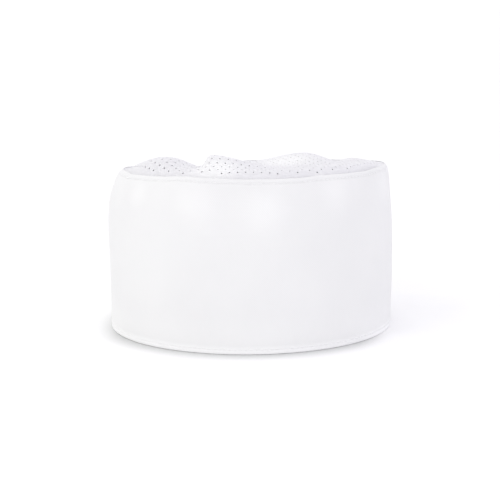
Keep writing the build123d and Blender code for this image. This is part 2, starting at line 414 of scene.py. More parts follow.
def knitted_mesh():
    """Fine warp knit between the eyelets: short ribs of loops. Three patches carry a painted highlight, a
    lighter colour placed to suit the bright folds in the photograph, where the shape alone stays too dark."""
    f = Finish("knitted_mesh", 0.9, sheen=0.15)
    cloth = f.map()
    wales = f.wave(cloth, 0.75 * MM, "X", 0.4)
    courses = f.wave(cloth, 0.55 * MM, "Y", 0.5)
    loops = f.math("MULTIPLY", wales, courses)
    patches = f.noise(f.place(), 16 * MM, 3)
    shade = f.total(loops, 0.5, patches, 0.5)
    usual = f.tint(shade, (0.735, 0.728, 0.758), (0.790, 0.785, 0.803), 0.15, 0.7)
    # Painted highlight: a lighter colour laid over three patches of the crown.
    painted_highlight_colour = f.tint(shade, (0.87, 0.87, 0.87), (0.92, 0.92, 0.92), 0.15, 0.7)
    painted_fold_highlights = [((-20, -78, 110), 20), ((22, -42, 114), 24), ((44, -84, 104), 9)]
    f.colour(f.mixed(usual, painted_highlight_colour, f.near(painted_fold_highlights)))
    f.rough(patches, 0.1, 0.84)
    f.shader.inputs["Subsurface Weight"].default_value = 0.6
    f.shader.inputs["Subsurface Radius"].default_value = (1, 1, 1)
    f.shader.inputs["Subsurface Scale"].default_value = 0.001
    f.bump(loops, 0.1 * MM, 0.8)
    return f.material


def terry_loops():
    """Looped pile. The loops are relief in this material only: the sweatband's mesh is a smooth ring."""
    f = Finish("terry_loops", 0.95, sheen=0.25)
    cells = f.node("TexVoronoi", Vector=f.map(), Scale=1 / (1.1 * MM), Randomness=0.8)
    loops = f.math("SUBTRACT", 1.0, cells.outputs["Distance"])
    fluff = f.noise(f.place(), 0.6 * MM, 4, 0.7)
    height = f.math("ADD", loops, f.math("MULTIPLY", fluff, 0.6))
    f.colour(f.tint(f.math("MULTIPLY", height, 0.7), (0.76, 0.755, 0.74), (0.91, 0.905, 0.89), 0.3, 0.9))
    f.rough(fluff, 0.1, 0.88)
    f.bump(height, 0.45 * MM, 1.0)
    return f.material


def sewing_thread():
    """Twisted strands, seen as slanting stripes along each stitch."""
    f = Finish("sewing_thread", 0.55, sheen=0.1, specular=0.4)
    twist = f.wave(f.place(), 0.35 * MM, "DIAGONAL", 0.5)
    uneven = f.noise(f.place(), 3 * MM)
    f.colour(f.tint(f.total(twist, 0.6, uneven, 0.4), (0.84, 0.84, 0.845), (0.94, 0.94, 0.94), 0.15, 0.85))
    f.rough(uneven, 0.2, 0.45)
    f.bump(twist, 0.05 * MM, 0.6)
    return f.material


def nylon(name, dark, light, roughness):
    """Smooth moulded or drawn nylon with slight clouding."""
    f = Finish(name, roughness, specular=0.45)
    cloud = f.noise(f.place(), 5 * MM, 3)
    grain = f.noise(f.place(), 0.5 * MM, 2)
    f.colour(f.tint(cloud, dark, light, 0.3, 0.7))
    f.rough(grain, 0.2, roughness - 0.1)
    f.bump(grain, 0.05 * MM, 0.5)
    return f.material


def satin():
    """Satin ribbon: long floats across, and a shimmer along them."""
    f = Finish("satin_ribbon", 0.42, sheen=0.2, specular=0.5)
    floats = f.wave(f.map(), 0.28 * MM, "Y", 0.3)
    shimmer = f.noise(f.map((4, 0.3)), 3 * MM)
    f.colour(f.tint(f.total(floats, 0.4, shimmer, 0.6), (0.86, 0.86, 0.865), (0.95, 0.95, 0.95), 0.2, 0.8))
    f.rough(shimmer, 0.25, 0.3)
    f.bump(floats, 0.04 * MM, 0.6)
    return f.material


def felted():
    """Pressed fibres of the stiffener, with bonding dots."""
    f = Finish("felted_fibre", 0.93)
    cloth = f.map()
    fibres = f.noise(cloth, 0.9 * MM, 6, 0.8)
    dots = f.node("TexVoronoi", Vector=cloth, Scale=1 / (1.8 * MM), Randomness=0.05).outputs["Distance"]
    height = f.math("ADD", fibres, f.math("MULTIPLY", dots, 0.5))
    f.colour(f.tint(f.math("MULTIPLY", height, 0.7), (0.78, 0.78, 0.76), (0.9, 0.9, 0.88), 0.25, 0.8))
    f.rough(fibres, 0.1, 0.86)
    f.bump(height, 0.1 * MM, 0.8)
    return f.material


TWILL = twill()
LINING = plain_weave("plain_lining", (0.90, 0.90, 0.90), (0.82, 0.82, 0.83), 0.5 * MM, 0.06 * MM)
TAPE = ribbed_tape()
MESH_CLOTH = knitted_mesh()
TERRY = terry_loops()
THREAD = sewing_thread()
HOOK_NYLON = nylon("hook_nylon", (0.84, 0.84, 0.85), (0.91, 0.91, 0.915), 0.45)
LOOP_NYLON = nylon("loop_nylon", (0.85, 0.85, 0.86), (0.92, 0.92, 0.925), 0.6)
SATIN = satin()
FELT = felted()


# ======== the band: outer cloth, stiffener, lining, sweatband ========
SLIT_X, SLIT_HALF, SLIT_TOP = 14.0 * MM, 1.5 * MM, 82.0 * MM
COLUMN_STEP = 1.75 * MM
slit_xs = SLIT_X + SLIT_HALF * np.array([1.0, 0.8, 0.4, 0.0, -0.4, -0.8, -1.0])
slit_angles = wall.angle_of(slit_xs)


def wall_columns():
    """Angles round the wall, with upright lines exactly at the slit's edges, and where the slit lies."""
    count = int(wall.girth / COLUMN_STEP)
    regular = wall.angle_at(np.linspace(0, wall.girth, count, endpoint=False))
    clear = 0.9 * COLUMN_STEP / wall.half_length
    away = (regular < slit_angles[0] - clear) | (regular > slit_angles[-1] + clear)
    angles = np.sort(np.concatenate([regular[away], slit_angles]))
    first = int(np.searchsorted(angles, slit_angles[0] - 1e-9))
    return angles, first


COLUMNS, SLIT_FIRST = wall_columns()
SLIT_LAST = SLIT_FIRST + len(slit_angles) - 1
GIRTHS = np.append(wall.length_at(COLUMNS), wall.girth + wall.length_at(COLUMNS[0]))


def wall_sheet(name, outer, inner, material, slit_row=None):
    """A ring of cloth from (heights, depths) of its two faces, each columns by rows; it is open at the
    slit below slit_row."""
    faces_at = []
    for heights, depths in (outer, inner):
        heights = heights.copy()
        if slit_row is not None and slit_row < heights.shape[1] - 1:
            inside = slice(SLIT_FIRST, SLIT_LAST + 1)
            arch = np.sqrt(np.maximum(SLIT_HALF**2 - (slit_xs - SLIT_X) ** 2, 0))
            heights[inside, slit_row] = SLIT_TOP + arch
        angles = np.repeat(COLUMNS[:, None], heights.shape[1], axis=1)
        faces_at.append(wall.at_height(angles, heights, depths).reshape(-1, 3))
    up = outer[0].mean(0)
    up = np.concatenate([[0], np.cumsum(np.maximum(np.abs(np.diff(up)), 0.2 * MM))])

    def keep(i, j):
        return slit_row is None or not (SLIT_FIRST <= i < SLIT_LAST and j < slit_row)

    faces, uv = grid_faces(GIRTHS, up, closed=True, keep=keep)
    return sheet_of(name, *faces_at, faces, uv, material)


TOPS = wall.flat_top(COLUMNS)[:, None]
ROLL, HEM_ROLL, CLOTH = 1.1 * MM, 0.55 * MM, 0.5 * MM  # the bends at the rim and the hem, and the cloth
HEM_INSIDE = 1.75 * MM  # the depth to which the hem wraps round, under the lining
CROWN_STITCH, HEM_STITCH = 2.4 * MM, 3.0 * MM  # the drop of one row and the height of the other
# The depth and thickness of each layer behind the outer cloth.
STIFFENER_LAYER, LINING_LAYER = (0.72 * MM, 0.36 * MM), (1.2 * MM, 0.5 * MM)
SWEATBAND_LAYER, TAPE_LAYER = (1.8 * MM, 1.2 * MM), (2.6 * MM, 0.8 * MM)


def level_rows(lower, count, drop):
    """Heights for every column: fixed heights first, then evenly spaced rows up to that drop."""
    lower = np.tile(lower, (len(COLUMNS), 1))
    last, ends = lower[:, -1:], TOPS - drop
    upper = last + (ends - last) * np.linspace(0, 1, count + 1)[1:]
    return np.concatenate([lower, upper], axis=1)


def groove(distance):
    """How far a row of stitches draws the cloth in, beside it."""
    return 0.16 * MM * np.exp(-((distance / (0.45 * MM)) ** 2))


def band_cloth():
    """The outer cloth: turned under at the hem, up the face, and rolled over at the crown seam."""
    bends = np.radians(np.linspace(0, 90, 6))
    by_hem, by_slit = [1.8, 2.4, 2.7, 3.0, 3.3, 3.6, 4.4], [80.5, 82.0]
    straight = np.concatenate([by_hem, np.linspace(6.5, 78, 29), by_slit]) * MM
    upper = np.linspace(0, 1, 8)[:-1]
    near_top = np.array([4.4, 3.5, 3.0, 2.7, 2.4, 2.1, 1.8, 1.4]) * MM
    faces = []
    for under in (0.0, 0.9 * CLOTH):
        radius, hem = ROLL - under, HEM_ROLL - under
        hem_height = np.concatenate([[1.2 * MM], HEM_ROLL - hem * np.sin(bends),
                                     HEM_ROLL - hem * np.cos(bends)])
        hem_depth = np.concatenate([[HEM_INSIDE - under], HEM_INSIDE - HEM_ROLL + hem * np.cos(bends),
                                    HEM_ROLL - hem * np.sin(bends)])
        top_drop, top_depth = ROLL - radius * np.sin(bends), ROLL - radius * np.cos(bends)
        low = np.tile(np.concatenate([hem_height, straight]), (len(COLUMNS), 1))
        start, end = 84.0 * MM, TOPS - near_top[0]
        middle = np.concatenate([start + (end - start) * upper, TOPS - near_top], axis=1)
        heights = np.concatenate([low, middle, TOPS - top_drop], axis=1)
        face_depth = np.full(len(straight) + len(upper) + len(near_top), ROLL - radius)
        face_depth[:len(straight)] += 0.5 * groove(straight - HEM_STITCH)
        face_depth[-len(near_top):] += groove(near_top - CROWN_STITCH)
        depths = np.concatenate([hem_depth, face_depth, top_depth])
        faces.append((heights, np.tile(depths, (len(COLUMNS), 1))))
    return wall_sheet("band_cloth", *faces, TWILL, slit_row=2 * len(bends) + len(straight))


def flat_ring(name, layer, heights, material, slit_row=None, round_edges=0.0):
    """A plain ring of cloth at its (depth, thickness), thinned over that length at its two edges."""
    depth, thickness = layer
    low, high = heights[:, :1], heights[:, -1:]
    edge = np.minimum(heights - low, high - heights)
    thin = 0 if not round_edges else 0.35 * thickness * (1 - ramp(edge, 0, round_edges))
    outer = np.full(heights.shape, depth) + thin
    inner = np.full(heights.shape, depth + thickness) - thin
    return wall_sheet(name, (heights, outer), (heights, inner), material, slit_row)


def band_lining():
    lower = np.concatenate([np.linspace(1.3, 78, 28), [80.5, 82.0]]) * MM
    heights = level_rows(lower, 6, 2.3 * MM)
    return flat_ring("lining_cloth", LINING_LAYER, heights, LINING, slit_row=len(lower) - 1)


def band_stiffener():
    lower = np.concatenate([np.linspace(4, 78, 28), [80.5, 82.0]]) * MM
    heights = level_rows(lower, 3, 10 * MM)
    return flat_ring("stiffener", STIFFENER_LAYER, heights, FELT, slit_row=len(lower) - 1)


def sweatband():
    rows = np.concatenate([[1.5, 1.7, 2.1, 2.8], np.linspace(4.2, 31.3, 17), [32.7, 33.4, 33.8, 34]]) * MM
    heights = np.tile(rows, (len(COLUMNS), 1))
    return flat_ring("sweatband_terry", SWEATBAND_LAYER, heights, TERRY, len(rows) - 1, round_edges=1.4 * MM)


def seam_tape():
    """The woven tape that covers the crown's seam inside, thinned at its two edges."""
    drops = np.array([12, 11.8, 11.3, 9.5, 7.5, 5.5, 3.5, 1.8, 1.25, 1.0]) * MM
    return flat_ring("seam_tape", TAPE_LAYER, TOPS - drops, TAPE, round_edges=0.7 * MM)


def declare(piece, body, nodes):
    """Puts a piece on its body and hides the CAD nodes that it stands for."""
    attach(piece, body)
    if nodes:
        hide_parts(*nodes)
    return piece


declare(band_cloth(), "cap", ["band_outer"])
declare(band_lining(), "cap", ["band_lining"])
declare(band_stiffener(), "cap", ["band_interfacing"])
declare(sweatband(), "cap", ["sweatband"])
declare(seam_tape(), "cap", ["crown_seam_binding"])


# ======== the crown: perforated cloth, gathered a little into the band ========
class Crown:
    """The crown's surface over a unit disc (p, q), p to the right and q to the nape."""

    # Folds, in mm: x, y, height, spread to the left, right, front and back, and turn in degrees.
    FOLDS = [(-49.0, -50, 6.9, 15.5, 13.8, 9, 30, 0), (-23.6, -62, 9.2, 2.5, 20.5, 8, 34, -8),
             (35.1, -22, 10.5, 20.7, 12.9, 19, 32, 8), (65.9, -4, 5.2, 7.5, 9.0, 14, 26, 6),
             (-28.1, 45, -7.6, 10.9, 10.9, 50, 40, 0)]
    DOME, PUFF = 1.0 * MM, 5.0 * MM
    SEAM_DROP, SEAM_DEPTH = 0.6 * MM, 1.38 * MM

    def seam(self, angle):
        return wall.place(angle, self.SEAM_DROP, self.SEAM_DEPTH)

    def height(self, x, y, radius, lift):
        """The height at a point of the plan, where radius is 1 on the seam and lift is the rim's rise."""
        base = wall.middle_top - wall.slope * y - self.SEAM_DROP
        inwards = 1 - radius
        puff = np.sqrt(np.maximum(1 - (1 - np.clip((inwards - 0.018) / 0.10, 0, 1)) ** 2, 0))
        puff = puff * ramp(-y, -10 * MM, 50 * MM) * (1 - 0.55 * ramp(inwards, 0.10, 0.60))
        total = self.DOME * (1 - radius**2) + lift * radius**3 + self.PUFF * puff
        for fx, fy, high, left, right, front, back, degrees in self.FOLDS:
            c, s = math.cos(math.radians(degrees)), math.sin(math.radians(degrees))
            dx, dy = x / MM - fx, y / MM - fy
            u, v = dx * c + dy * s, -dx * s + dy * c
            u, v = np.where(u < 0, u / left, u / right), np.where(v < 0, v / front, v / back)
            free = ramp(inwards, 0, 0.09 if high > 0 else 0.2)
            total = total + free * high * MM * np.exp(-0.5 * (u**2 + v**2))
        return base + total

    def row(self, q, share):
        """A point on the straight line across the plan at q, from the left seam to the right one."""
        half = np.sqrt(np.maximum(1 - q * q, 0))
        left, right = self.seam(np.arctan2(q, -half)), self.seam(np.arctan2(q, half))
        flat = left * (1 - share[..., None]) + right * share[..., None]
        p = (2 * share - 1) * half
        radius = np.sqrt(np.minimum(p * p + q * q, 1))
        x, y = flat[..., 0], flat[..., 1]
        return np.stack([x, y, self.height(x, y, radius, wall.rise(np.arctan2(q, p)))], -1)

    def point(self, p, q):
        """The surface over (p, q), with the cloth spread evenly along each row."""
        steps = 140
        half = np.sqrt(np.maximum(1 - q * q, 1e-9))
        wanted = np.clip((p / half + 1) / 2, 0, 1)
        shares = np.linspace(0, 1, steps)
        rows = self.row(np.repeat(q[:, None], steps, 1), np.repeat(shares[None], len(q), 0))
        along = np.cumsum(np.linalg.norm(np.diff(rows, axis=1), axis=2), axis=1)
        along = np.concatenate([np.zeros((len(q), 1)), along], axis=1)
        along /= along[:, -1:] + 1e-12
        found = np.array([np.interp(w, a, shares) for w, a in zip(wanted, along)])
        return self.row(q, found)


crown = Crown()
FLAT_HALF = np.array([94.0, 99.0]) * MM  # half the crown's cut, up to its seam
RIM_STEP, SIM_STEP = 2.4 * MM, 3.4 * MM


def lattice(step, limit):
    """Staggered points in the flat cut, within that share of its size."""
    rise = step * math.sqrt(3) / 2
    rows = int(FLAT_HALF[1] / rise) + 1
    columns = int(FLAT_HALF[0] / step) + 1
    points = []
    for j in range(-rows, rows + 1):
        for i in range(-columns, columns + 1):
            x, y = (i + 0.5 * (j % 2)) * step, j * rise
            if (x / FLAT_HALF[0]) ** 2 + (y / FLAT_HALF[1]) ** 2 < limit**2:
                points.append((x, y))
    return np.array(points)


def rim_points(step):
    """Points of the cut's seam line, evenly spaced, and their angles."""
    count = int(2 * math.pi * FLAT_HALF.mean() / step)
    angles = np.linspace(-math.pi, math.pi, count, endpoint=False)
    return np.stack([FLAT_HALF[0] * np.cos(angles), FLAT_HALF[1] * np.sin(angles)], 1), angles


def triangulated(points, loops):
    """Triangles inside the first loop, in which the other loops are kept as edges."""
    edges = [(loop[k], loop[(k + 1) % len(loop)]) for loop in loops for k in range(len(loop))]
    _, _, faces, sources, _, _ = geometry.delaunay_2d_cdt([Vector(p) for p in points], edges, [loops[0]], 1,
                                                          1e-9)
    return [[sources[i][0] for i in face] for face in faces]


def over(points):
    """The crown's surface over points of the flat cut."""
    p, q = points[:, 0] / FLAT_HALF[0], points[:, 1] / FLAT_HALF[1]
    size = np.sqrt(p * p + q * q)
    shrink = np.where(size > 1, 1 / np.maximum(size, 1e-9), 1)
    return crown.point(p * shrink, q * shrink)


def passing_object(name, points, faces):
    """A plain mesh object that is removed again after use."""
    mesh = bpy.data.meshes.new(name)
    mesh.from_pydata([tuple(v) for v in points], [], faces)
    made = bpy.data.objects.new(name, mesh)
    bpy.context.scene.collection.objects.link(made)
    return made


SETTLING_FRAMES = 35
CLOTH_SETTINGS = {
    "quality": 8, "mass": 0.12, "tension_stiffness": 25, "compression_stiffness": 25, "shear_stiffness": 8,
    "bending_stiffness": 0.35, "tension_damping": 10, "compression_damping": 10, "shear_damping": 10,
    "bending_damping": 1.0, "air_damping": 3, "vertex_group_mass": "held", "pin_stiffness": 6,
}


def settled_cloth():
    """The crown's cloth as a plain mesh, settled by a cloth simulation: (flat points, points, triangles)."""
    ring, _ = rim_points(SIM_STEP)
    inside = lattice(SIM_STEP, 0.975)
    flat = np.concatenate([ring, inside])
    triangles = triangulated(flat, [list(range(len(ring)))])
    shape = over(flat)
    cloth = passing_object("crown_simulation", shape, triangles)
    cloth.shape_key_add(name="worn")
    cut = cloth.shape_key_add(name="cut")
    for index, (x, y) in enumerate(flat):
        cut.data[index].co = (x, y, 0.1)
    group = cloth.vertex_groups.new(name="held")
    for index, reach in enumerate(np.linalg.norm(flat / FLAT_HALF, axis=1)):
        group.add([index], 1.0 if reach > 0.995 else 0.10, "REPLACE")
    settings = cloth.modifiers.new("cloth", "CLOTH").settings
    for name, value in CLOTH_SETTINGS.items():
        setattr(settings, name, value)
    settings.rest_shape_key = cut
    settings.effector_weights.gravity = 0.15
    scene = bpy.context.scene
    for step in range(1, SETTLING_FRAMES + 1):
        scene.frame_set(step)
    evaluated = cloth.evaluated_get(bpy.context.evaluated_depsgraph_get())
    shape = np.array([v.co for v in evaluated.data.vertices])
    scene.frame_set(1)
    bpy.data.objects.remove(cloth)
    return flat, shape, triangles


def subdivided(points, triangles, levels):
    """The vertices and triangles of a subdivision surface over a plain mesh."""
    plain = passing_object("subdividing", points, triangles)
    plain.modifiers.new("smooth", "SUBSURF").levels = levels
    evaluated = plain.evaluated_get(bpy.context.evaluated_depsgraph_get())
    fine = evaluated.to_mesh()
    fine.calc_loop_triangles()
    vertices = np.array([v.co for v in fine.vertices])
    triples = np.array([t.vertices for t in fine.loop_triangles])
    evaluated.to_mesh_clear()
    bpy.data.objects.remove(plain)
    return vertices, triples


HOLE_PITCH, HOLE_RADIUS, HOLE_SIDES = 5.1 * MM, 0.58 * MM, 10
ALLOWANCE = [(1.2, 1.7), (2.0, 2.15), (4.0, 2.15), (8.6, 2.15)]  # drop and depth of the turned edge, in mm


def crown_cloth():
    """The perforated cloth: the settled surface with its rows of eyelets, and its edge turned down."""
    coarse_flat, coarse, triangles = settled_cloth()
    lifted = np.concatenate([coarse_flat, np.zeros((len(coarse_flat), 1))], axis=1)
    fine_flat, triples = subdivided(lifted, triangles, 2)
    fine, _ = subdivided(coarse, triangles, 2)
    tree = BVHTree.FromPolygons([Vector(v) for v in fine_flat], triples.tolist(), all_triangles=True)

    ring, angles = rim_points(RIM_STEP)
    holes = lattice(HOLE_PITCH, 0.965)
    turn = np.linspace(0, 2 * math.pi, HOLE_SIDES, endpoint=False)
    circle = HOLE_RADIUS * np.stack([np.cos(turn), np.sin(turn)], 1)
    eyelets = (holes[:, None, :] + circle[None]).reshape(-1, 2)
    rise = HOLE_PITCH * math.sqrt(3) / 2
    between = [holes + np.array([HOLE_PITCH / 2, 0])]
    between += [holes + np.array([side * HOLE_PITCH / 4, rise / 2]) for side in (-1, 1)]
    between += [holes + np.array([0, side * rise * 2 / 3]) for side in (-1, 1)]
    between = np.concatenate(between)
    inside = np.linalg.norm(between / FLAT_HALF, axis=1) < 0.985
    flat = np.concatenate([ring, eyelets, between[inside]])
    loops = [list(range(len(ring)))]
    for k in range(len(holes)):
        start = len(ring) + k * HOLE_SIDES
        loops.append(list(range(start, start + HOLE_SIDES)))
    owner = np.full(len(flat), -1)
    owner[len(ring):len(ring) + len(eyelets)] = np.repeat(np.arange(len(holes)), HOLE_SIDES)
    faces = [f for f in triangulated(flat, loops) if not (owner[f[0]] >= 0 and len(set(owner[f])) == 1)]

    middle = np.zeros((len(flat), 3))
    for index, (x, y) in enumerate(flat):
        spot, _, found, _ = tree.find_nearest(Vector((x, y, 0)))
        a, b, c = (Vector(fine_flat[i]) for i in triples[found])
        d, e, f = (Vector(fine[i]) for i in triples[found])
        middle[index] = geometry.barycentric_transform(spot, a, b, c, d, e, f)
    middle[:len(ring)] = crown.seam(angles)

    uv = [[tuple(flat[i]) for i in face] for face in faces]
    count = len(ring)
    last, reach = np.arange(count), 0.0
    for drop, depth in ALLOWANCE:
        new = np.arange(count) + len(middle)
        further = reach + math.hypot(drop, depth) * MM * 0.4
        middle = np.concatenate([middle, wall.place(angles, drop * MM, depth * MM)])
        for k in range(count):
            n = (k + 1) % count
            faces.append([new[k], new[n], last[n], last[k]])
            uv.append([tuple(ring[j] * (1 + out / FLAT_HALF.mean()))
                       for j, out in ((k, further), (n, further), (n, reach), (k, reach))])
        last, reach = new, further
    half = 0.25 * MM * vertex_normals(middle, faces)
    return sheet_of("crown_cloth", middle + half, middle - half, faces, uv, MESH_CLOTH, sharp=60)


def vertex_normals(points, faces):
    a, b, c = (points[[face[k] for face in faces]] for k in range(3))
    face_normals = np.cross(b - a, c - a)
    normals = np.zeros_like(points)
    np.add.at(normals, np.concatenate(faces), np.repeat(face_normals, [len(face) for face in faces], axis=0))
    return normals / (np.linalg.norm(normals, axis=1, keepdims=True) + 1e-15)


declare(crown_cloth(), "cap", ["crown_mesh"])


# ======== stitches ========
STITCH_GAP = 0.5 * MM
# The places along one stitch, by share of its length, with its lift and its thickness there.
RINGS = np.array([0, 0.1, 0.32, 0.68, 0.9, 1.0])
LIFT = np.array([-0.22, 0.0, 0.13, 0.13, 0.0, -0.22]) * MM
THICK = np.array([0.09, 0.16, 0.20, 0.20, 0.16, 0.09]) * MM


def stitch_row(name, path, total, pitch=3.2 * MM, keep=None):
    """Separate stitches along path(length, lift), each dipping into the cloth at its two ends."""
    count = max(int(round(total / pitch)), 1)
    long = pitch - STITCH_GAP
    starts = (np.arange(count) + 0.5) * total / count - long / 2
    if keep is not None:
        starts = starts[keep(starts + long / 2)]
    lengths = starts[:, None] + RINGS * long
    return tubes(name, path(lengths, np.broadcast_to(LIFT, lengths.shape)), THICK, THREAD)


def wall_row(name, height=None, drop=None, surface=0.0, inside=False, off_slit=True):
    """A row of stitches right round the wall, on its outer or inner side."""
    sign = 1 if inside else -1

    def path(length, lift):
        angle = wall.angle_at(np.mod(length, wall.girth))
        depth = surface + sign * lift
        return wall.place(angle, drop, depth) if height is None else wall.at_height(angle, height, depth)

    def keep(length):
        angle = wall.angle_at(np.mod(length, wall.girth))
        return (np.abs(wall.half_width * np.cos(angle) - SLIT_X) >= 3.6 * MM) | (np.sin(angle) <= 0)

    return stitch_row(name, path, wall.girth, keep=keep if off_slit else None)


def polyline(points):
    """A function that gives (x, z) at a length along the points, and the whole length."""
    points = np.array(points, float)
    reach = np.concatenate([[0], np.cumsum(np.linalg.norm(np.diff(points, axis=0), axis=1))])

    def at(length):
        return np.interp(length, reach, points[:, 0]), np.interp(length, reach, points[:, 1])

    return at, reach[-1]


def box_line(x0, x1, z0, z1):
    """The line round a box given in mm."""
    return polyline(np.array([(x0, z0), (x1, z0), (x1, z1), (x0, z1), (x0, z0)]) * MM)


def nape_row(name, line, depth):
    """Stitches on the nape along an (x, z) line, on a surface at depth(x)."""
    at, total = line

    def path(length, lift):
        x, z = at(length)
        return wall.nape(x, z, depth(x) - lift)

    return stitch_row(name, path, total)


declare(wall_row("crown_stitches", drop=CROWN_STITCH, off_slit=False), "cap", ["crown_topstitch"])
declare(wall_row("hem_stitches", height=HEM_STITCH), "cap", ["hem_topstitch"])
declare(wall_row("sweatband_stitches", height=31 * MM, surface=3.0 * MM, inside=True), "cap",
        ["sweatband_stitch"])


# ======== the closing tab and its patches, at the nape ========
EDGE = np.array([0, 0.08, 0.25, 0.5, 0.9, 1.4, 1.75, 2.0, 2.25, 2.7, 3.5]) * MM
PATCH_STEP = 1.6 * MM


def between_edges(low, high, whole):
    """Even positions between the close rows at two edges, as many as the whole length has steps."""
    return np.linspace(low + EDGE[-1], high - EDGE[-1], int(whole / PATCH_STEP))[1:-1]


def spread(low, high, extra):
    """Positions from low to high, close together at both ends, with some extra ones."""
    values = np.concatenate([low + EDGE, between_edges(low, high, high - low), high - EDGE, extra])
    values = np.unique(np.round(values, 7))
    return values[np.concatenate([[True], np.diff(values) > 0.05 * MM])]


def nape_cloth(name, box, thickness, middle, material, end_corner, root_corner=0.0, soft=0.2 * MM,
               sewn_in=0.05, waves=0.0):
    """A cloth patch over the nape: box is (x0, x1, z0, z1) in mm, and middle(x) the depth of its mid layer.
    The corners at x0 have end_corner as their radius and those at x1 root_corner. Its edge is rounded over
    the length soft, and it is sewn in by that many mm along a line 2 mm from its edge."""
    x0, x1, z0, z1 = (v * MM for v in box)
    bends = 1 - np.cos(np.radians(np.linspace(0, 90, 9)))
    xs = spread(x0, x1, np.concatenate([x0 + end_corner * bends, x1 - root_corner * bends]))[::-1]
    grid_x, grid_z = [], []
    for x in xs:
        cut = 0.0
        for end, corner in ((x - x0, end_corner), (x1 - x, root_corner)):
            if corner and end < corner:
                cut = max(cut, corner - math.sqrt(max(corner**2 - (corner - end) ** 2, 0)))
        low, high = z0 + cut, z1 - cut
        grid_z.append(np.concatenate([low + EDGE, between_edges(low, high, z1 - z0), (high - EDGE)[::-1]]))
        grid_x.append(np.full(len(grid_z[-1]), x))
    grid_x, grid_z = np.array(grid_x), np.array(grid_z)
    corner = np.where(grid_x < (x0 + x1) / 2, end_corner, root_corner)
    qx = np.abs(grid_x - (x0 + x1) / 2) - ((x1 - x0) / 2 - corner)
    qz = np.abs(grid_z - (z0 + z1) / 2) - ((z1 - z0) / 2 - corner)
    inside = np.minimum(np.maximum(qx, qz), 0) + np.hypot(np.maximum(qx, 0), np.maximum(qz, 0)) - corner
    edge = np.maximum(-inside, 0)
    half = thickness * MM / 2 * np.sqrt(1 - (1 - np.clip(edge / soft, 0, 1)) ** 2 * 0.96)
    half = half - sewn_in * MM * np.exp(-(((edge - 2 * MM) / (0.35 * MM)) ** 2))
    depth = middle(grid_x) + waves * MM * np.sin(grid_x * 190 + 1.3) * np.sin(grid_z * 130 + 0.4)
    outer = wall.nape(grid_x, grid_z, depth - half).reshape(-1, 3)
    inner = wall.nape(grid_x, grid_z, depth + half).reshape(-1, 3)
    faces, uv = grid_faces(-xs, grid_z[0])
    return sheet_of(name, outer, inner, faces, uv, material)


def tab_middle(x):
    """The tab lies over its patches, and drops to the band beyond the hinge line."""
    return (-3.3 + 2.3 * ramp(x, 20 * MM, 30 * MM)) * MM


def tab_face(x):
    """The depth of the tab's outer face, on which its stitches lie."""
    return tab_middle(x) - TAB_HALF * MM


def level(depth):
    return lambda x: np.full(np.shape(x), depth * MM)


TAB_HALF = 0.85  # half of the tab's thickness, in mm


def bends_at_hinge(piece, nodes):
    """A piece that crosses the tab's hinge line: its placement is baked into its mesh, and the CAD nodes that
    it stands for are hidden.
    """
    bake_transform(piece)
    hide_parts(*nodes)
    return piece


tab = nape_cloth("tab_cloth", (-36, 36, 8, 80), 2 * TAB_HALF, tab_middle, TWILL, end_corner=9 * MM,
                 soft=0.8 * MM, sewn_in=0.16, waves=0.12)
bends_at_hinge(tab, ["tab_outer", "tab_anchor", "tab_lining", "tab_interfacing"])

# The tab's stitches run 2 mm inside its edge, round corners of 7 mm, and sink a little into the cloth.
ROOT_ROW, ROW_LOW, ROW_HIGH, ROW_END, ROW_BEND, SUNK = 34.0, 10.0, 78.0, -34.0, 7.0, 0.14
bend = np.radians(np.linspace(0, 90, 8))
middle_x, low_z, high_z = ROW_END + ROW_BEND, ROW_LOW + ROW_BEND, ROW_HIGH - ROW_BEND
tab_line = [(ROOT_ROW, ROW_LOW)]
tab_line += [(middle_x - ROW_BEND * math.sin(b), low_z - ROW_BEND * math.cos(b)) for b in bend]
tab_line += [(middle_x - ROW_BEND * math.cos(b), high_z + ROW_BEND * math.sin(b)) for b in bend]
tab_line += [(ROOT_ROW, ROW_HIGH)]
tab_stitches = nape_row("tab_stitches", polyline(np.array(tab_line) * MM), lambda x: tab_face(x) + SUNK * MM)
bends_at_hinge(tab_stitches, ["tab_topstitch"])

for side, row_x, nodes in (("near", 30.2, ["tab_anchor_stitch"]), ("far", ROOT_ROW, [])):
    upright = polyline([(row_x * MM, ROW_LOW * MM), (row_x * MM, ROW_HIGH * MM)])
    declare(nape_row("anchor_stitches_" + side, upright, tab_face), "cap", nodes)

PATCH_CORNER = 1.5 * MM
hook_base = nape_cloth("hook_patch_base", (-33, -5, 14, 74), 0.42, level(-2.14), HOOK_NYLON, PATCH_CORNER,
                       PATCH_CORNER)
declare(hook_base, "closure_tab", ["hook_patch"])
loop_base = nape_cloth("loop_patch_base", (-40, 6, 10, 78), 0.45, level(-0.34), LOOP_NYLON, PATCH_CORNER,
                       PATCH_CORNER)
declare(loop_base, "cap", ["loop_patch"])


def scattered(box, pitch, seed):
    """Staggered points over an (x0, x1, z0, z1) box in mm, each moved a little, and their random numbers."""
    x0, x1, z0, z1 = box
    random = np.random.default_rng(seed)
    xs, zs = np.meshgrid(np.arange(x0, x1, pitch), np.arange(z0, z1, pitch * 0.87))
    xs = xs + 0.5 * pitch * (np.arange(xs.shape[0])[:, None] % 2)
    spots = np.stack([xs.ravel(), zs.ravel()], 1)
    spots = spots[spots[:, 0] < x1]
    return (spots + random.uniform(-0.12, 0.12, spots.shape) * pitch) * MM, random.random((len(spots), 3))


HOOK_PITCH, LOOP_PITCH = 1.35, 1.42


